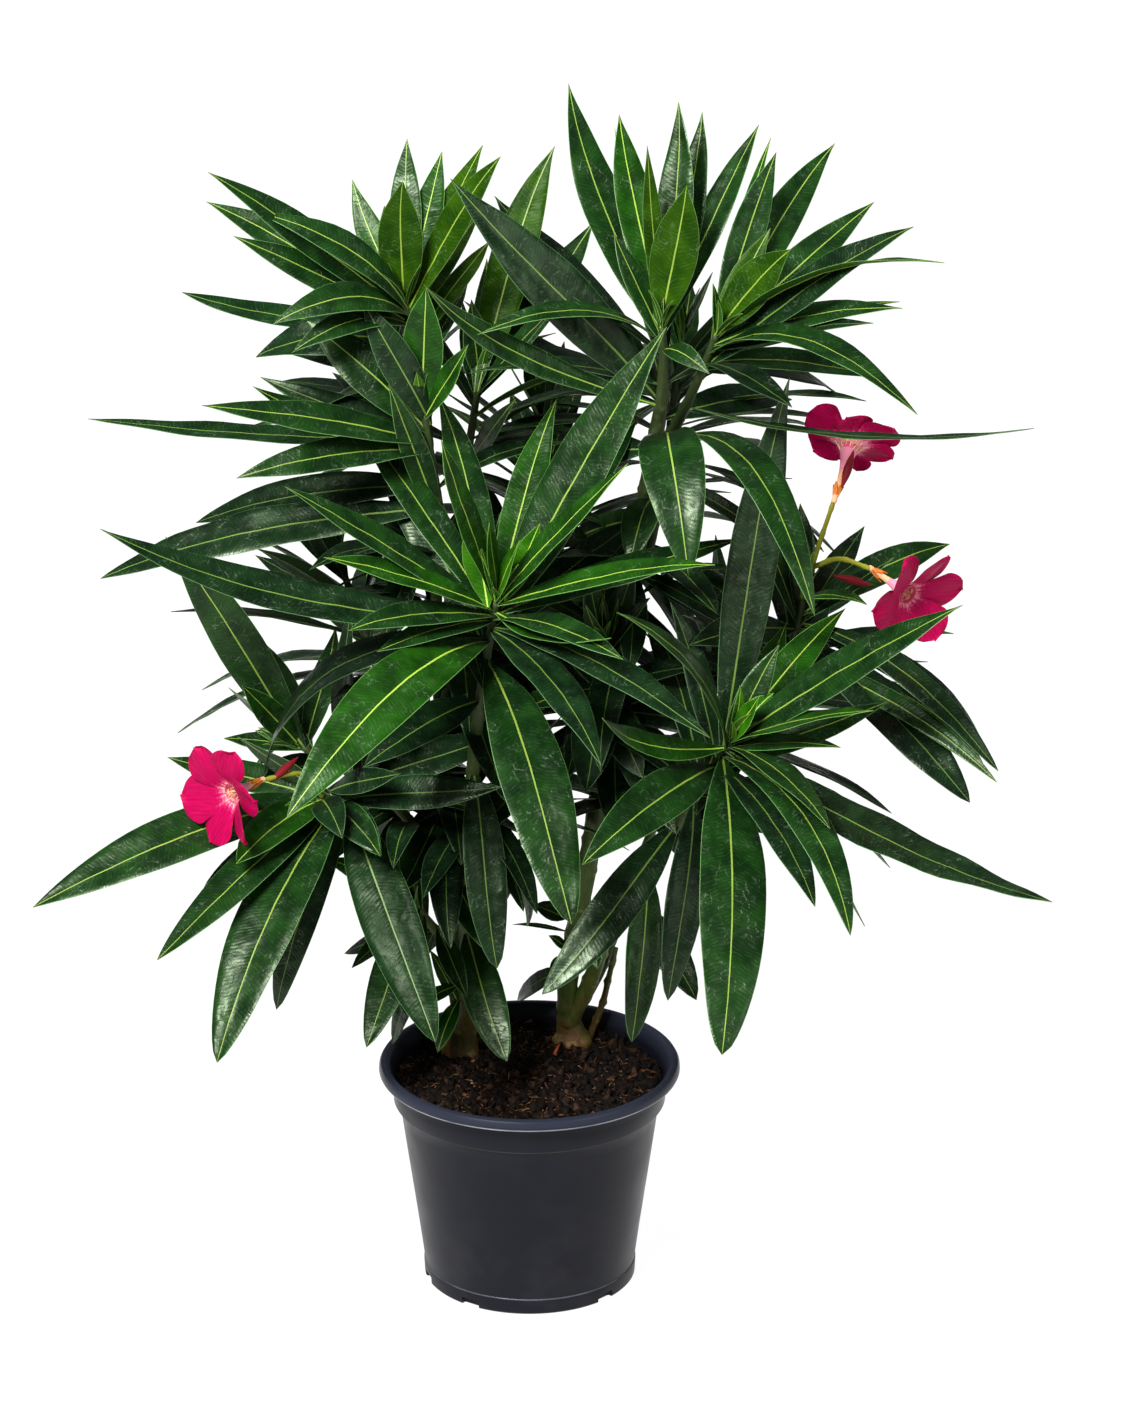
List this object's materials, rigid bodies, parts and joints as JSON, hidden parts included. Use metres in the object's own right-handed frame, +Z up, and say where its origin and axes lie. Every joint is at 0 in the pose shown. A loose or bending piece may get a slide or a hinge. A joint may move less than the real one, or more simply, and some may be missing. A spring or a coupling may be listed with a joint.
{
  "type": "potted oleander",
  "caption": "Young oleander in a round dark nursery pot: upright stems, whorls of long narrow glossy leaves and crimson flowers.",
  "frame": {"origin": "centre of the pot's flat underside, on the ground", "axes": "+Z up, +X to the right as seen from the front, +Y away from the front"},
  "size_m": [0.6072, 0.4893, 0.7536],
  "materials": {
    "pot_plastic": "satin",
    "compost": "matte",
    "bark": "matte",
    "leaves": "satin",
    "petals": "matte"
  },
  "bodies": {
    "root": {"pot": "pot_plastic", "soil": "compost", "stem_left": "bark", "stem_right": "bark", "bough_left_tall": "bark", "bough_left_mid": "bark", "bough_centre_back": "bark", "bough_left_low": "bark", "bough_left_back": "bark", "bough_rear_left": "bark", "bough_front_right": "bark", "bough_right_mid": "bark", "bough_rear_right": "bark", "bough_rear_centre": "bark", "bough_rear_high_left": "bark", "bough_rear_high_right": "bark", "blossom_left": "petals", "blossom_right": "petals", "crown_front_centre": "leaves", "crown_front_right": "leaves", "crown_left_low": "leaves", "crown_left_back": "leaves", "crown_left_mid": "leaves", "crown_upper_left": "leaves", "crown_centre_back": "leaves", "crown_upper_right": "leaves", "crown_upper_right_front": "leaves", "crown_right_mid": "leaves", "crown_inner_right": "leaves", "crown_inner_left": "leaves", "crown_foot_left": "leaves", "crown_rear_left": "leaves", "crown_rear_right": "leaves", "crown_rear_centre": "leaves", "crown_rear_high_left": "leaves", "crown_rear_high_right": "leaves"}
  },
  "joints": []
}
